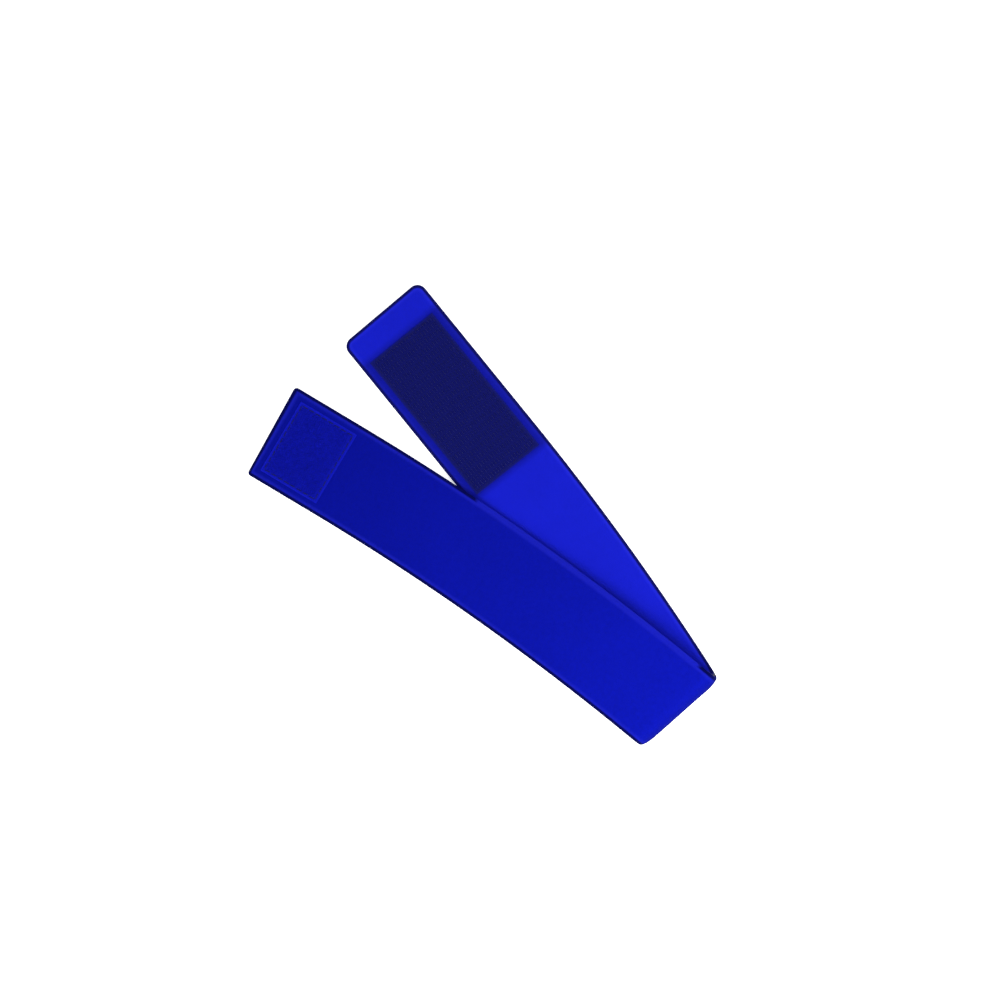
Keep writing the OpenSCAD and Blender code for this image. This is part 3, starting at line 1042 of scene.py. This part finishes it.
class STRAP_OT_outer_cloth(Operator):
    """Lays the brushed outer cloth along the whole strap."""

    bl_idname = "strap.outer_cloth"
    bl_label = "Outer cloth"

    def execute(self, context):
        finish = brushed_knit(colours().outer)
        declare_cloth(build_layer("outer_cloth", "outer", "outer_glue", finish))
        return {"FINISHED"}


class STRAP_OT_foam_core(Operator):
    """Lays the foam core, a little inside the cut edges of its cloths."""

    bl_idname = "strap.foam_core"
    bl_label = "Foam core"

    def execute(self, context):
        pieces = build_layer(
            "foam_core", "outer_glue", "inner_glue", cell_foam(colours().foam),
            columns=40, fine=1.6, indent=0.15,
        )
        return {"FINISHED"}


class STRAP_OT_inner_cloth(Operator):
    """Lays the smooth inner cloth along the whole strap."""

    bl_idname = "strap.inner_cloth"
    bl_label = "Inner cloth"

    def execute(self, context):
        finish = smooth_knit(colours().inner)
        declare_cloth(build_layer("inner_cloth", "inner_glue", "inner", finish))
        return {"FINISHED"}


def tape_ground(name, tape, finish):
    """A tape's woven ground: drawn down along its seam, its edges a little soft."""
    ground = cut_sheet(name, rows=round(tape.l / 0.55), columns=round(tape.w / 0.5))
    co = points_of(ground)
    q, v = tape.q + co[:, 0] * tape.l, tape.w / 2 * crowded(2 * co[:, 1], 0.4)
    inset = -tape.box_distance(q, v, tape.half_l, tape.half_w)
    soft_edge, soft_run, worn_run = 0.16, 0.7, 1.2
    soft = soft_edge * np.clip(1 - inset / soft_run, 0, 1) ** 2
    depth = tape.seam_depth(q, v, reach=0.6) * Tape.TIGHT + Relief.SUNK
    face = tape.strap.t / 2 - depth
    h = np.where(co[:, 2] < 0.5, face, face + tape.base_t - soft)
    set_cloth_map(ground, q, v)
    set_amount(ground, "rim", np.clip(1 - inset / worn_run, 0, 1))
    set_points(ground, tape.strap.lay(q, v, tape.side * h))
    outward(ground)
    smooth(ground)
    put_on_tab(ground, tape, finish)
    tape.w * MM
    tape.l * MM
    return ground


def pile_spots(tape, pitch_l, pitch_w, rim):
    """Rows of places for hooks or loops, clear of the tape's seam and edges."""
    end_rim, seam_room = 0.6, 0.75
    long, wide = tape.l - 2 * end_rim, tape.w - 2 * rim
    rows, columns = round(long / pitch_l), round(wide / pitch_w)
    for i in range(rows + 1):
        for k in range(columns + 1):
            x = -tape.half_l + end_rim + i * long / rows
            y = -tape.half_w + rim + k * wide / columns
            if abs(abs(x) - tape.seam_l) > seam_room:
                yield i, x, y


def sewn_seam(name, tape, on_tape, finish):
    """A tape's seam on one side of the strap, one grain of thread a stitch."""
    s = sizes()
    grain = stitch_model(s.stitch * 0.97, s.thread_d)
    pull, d = lie().seam_pull, s.thread_d
    if on_tape:
        h = tape.side * tape.strap.t / 2
        lift = tape.base_t - Relief.SUNK - pull * Tape.TIGHT + d * 0.36
    else:
        h = -tape.side * tape.strap.t / 2
        lift = -pull * 0.9 + d * 0.30
    base = tape.strap.tab_matrix(tape.q, h, face_up=on_tape)
    seam = copied(grain, name, seam_places(tape, base, lift))
    put_on_tab(seam, tape, finish)
    return seam


def sew_tape(end, ground_colour, *nodes):
    """Sews on one tape in the place of these CAD nodes: its ground and both its threads."""
    tape, name = Tape(Strap(), end), f"{end}_tape"
    ground = tape_ground(f"{name}_ground", tape, woven_tape(f"{name}_weave", ground_colour))
    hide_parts(*(f"{node}_backing" for node in nodes))
    finish = twisted_thread(colours().thread)
    for side, on_tape in (("needle", True), ("bobbin", False)):
        thread = f"{side}_thread"
        seam = sewn_seam(f"{name}_{side}_seam", tape, on_tape, finish)
        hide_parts(*(f"{node}_{thread}" for node in nodes))


def pile_foot(tape):
    """The tape's place, and the height at which its hooks or loops stand in the weave."""
    base = tape.strap.tab_matrix(tape.q, tape.side * tape.strap.t / 2, face_up=True)
    return base, tape.base_t - Relief.SUNK - 0.05


class STRAP_OT_hook_tape(Operator):
    """Sews the navy hook tape on the inner face of the hook end."""

    bl_idname = "strap.hook_tape"
    bl_label = "Hook tape"

    def execute(self, context):
        sew_tape("hook", colours().hook, "hook_tape", "hook_tail")
        return {"FINISHED"}


class STRAP_OT_hooks(Operator):
    """Sets rows of hooks on the hook tape, every other row facing back."""

    bl_idname = "strap.hooks"
    bl_label = "Hooks"

    def execute(self, context):
        tape = Tape(Strap(), "hook")
        base, foot = pile_foot(tape)
        chance = random.Random(5)
        places = []
        for i, x, y in pile_spots(tape, pitch_l=1.45, pitch_w=1.35, rim=2.1):
            facing = math.radians((0 if i % 2 else 180) + chance.uniform(-14, 14))
            lean = Matrix.Rotation(math.radians(chance.uniform(-7, 7)), 4, "X")
            turned = Matrix.Rotation(facing, 4, "Z") @ lean
            places.append(base @ Matrix.Translation((x, y, foot)) @ turned)
        hooks = copied(hook_model(tape.pile_h), "hook_tape_hooks", places)
        put_on_tab(hooks, tape, filament(colours().hook))
        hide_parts("hook_field", "hook_tail_field")
        return {"FINISHED"}


class STRAP_OT_loop_tape(Operator):
    """Sews the short loop tape on the outer face of the loop end."""

    bl_idname = "strap.loop_tape"
    bl_label = "Loop tape"

    def execute(self, context):
        sew_tape("loop", colours().loop, "loop_tape")
        return {"FINISHED"}


class STRAP_OT_loop_pile(Operator):
    """Raises the loop tape's pile, each loop turned its own way."""

    bl_idname = "strap.loop_pile"
    bl_label = "Loop pile"

    def execute(self, context):
        tape = Tape(Strap(), "loop")
        base, foot = pile_foot(tape)
        chance = random.Random(9)
        places = []
        for _i, x, y in pile_spots(tape, pitch_l=0.82, pitch_w=0.82, rim=2.0):
            facing = Matrix.Rotation(chance.uniform(0, 2 * math.pi), 4, "Z")
            lean = Matrix.Rotation(math.radians(chance.gauss(0, 26)), 4, "X")
            tall = Matrix.Scale(chance.uniform(0.7, 1.0), 4, (0, 0, 1))
            nudge = (x + chance.uniform(-0.2, 0.2), y + chance.uniform(-0.2, 0.2), foot)
            centred = Matrix.Translation((-LOOP_R, 0, 0))
            places.append(base @ Matrix.Translation(nudge) @ facing @ lean @ tall @ centred)
        pile = copied(loop_model(tape.pile_h), "loop_tape_pile", places)
        put_on_tab(pile, tape, pile_yarn(colours().loop))
        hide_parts("loop_pile")
        return {"FINISHED"}


STEPS = (
    STRAP_OT_stage,
    STRAP_OT_outer_cloth,
    STRAP_OT_foam_core,
    STRAP_OT_inner_cloth,
    STRAP_OT_hook_tape,
    STRAP_OT_hooks,
    STRAP_OT_loop_tape,
    STRAP_OT_loop_pile,
)


class STRAP_PT_panel(Panel):
    """Lists the steps that build the strap."""

    bl_idname = "STRAP_PT_panel"
    bl_label = "Eyewear strap"
    bl_space_type = "VIEW_3D"
    bl_region_type = "UI"
    bl_category = "Strap"

    def draw(self, context):
        for step in STEPS:
            self.layout.operator(step.bl_idname)
        for name, kind in GROUPS.items():
            box = self.layout.box()
            for key in kind.__annotations__:
                box.prop(getattr(context.scene, name), key)


CLASSES = (*GROUPS.values(), *STEPS, STRAP_PT_panel)


def register():
    for item in CLASSES:
        bpy.utils.register_class(item)
    for name, kind in GROUPS.items():
        setattr(bpy.types.Scene, name, PointerProperty(type=kind))


def unregister():
    for name in GROUPS:
        delattr(bpy.types.Scene, name)
    for item in reversed(CLASSES):
        bpy.utils.unregister_class(item)


def main():
    register()
    bpy.ops.strap.stage()
    bpy.ops.strap.outer_cloth()
    bpy.ops.strap.foam_core()
    bpy.ops.strap.inner_cloth()
    bpy.ops.strap.hook_tape()
    bpy.ops.strap.hooks()
    bpy.ops.strap.loop_tape()
    bpy.ops.strap.loop_pile()


if __name__ == "__main__":
    main()
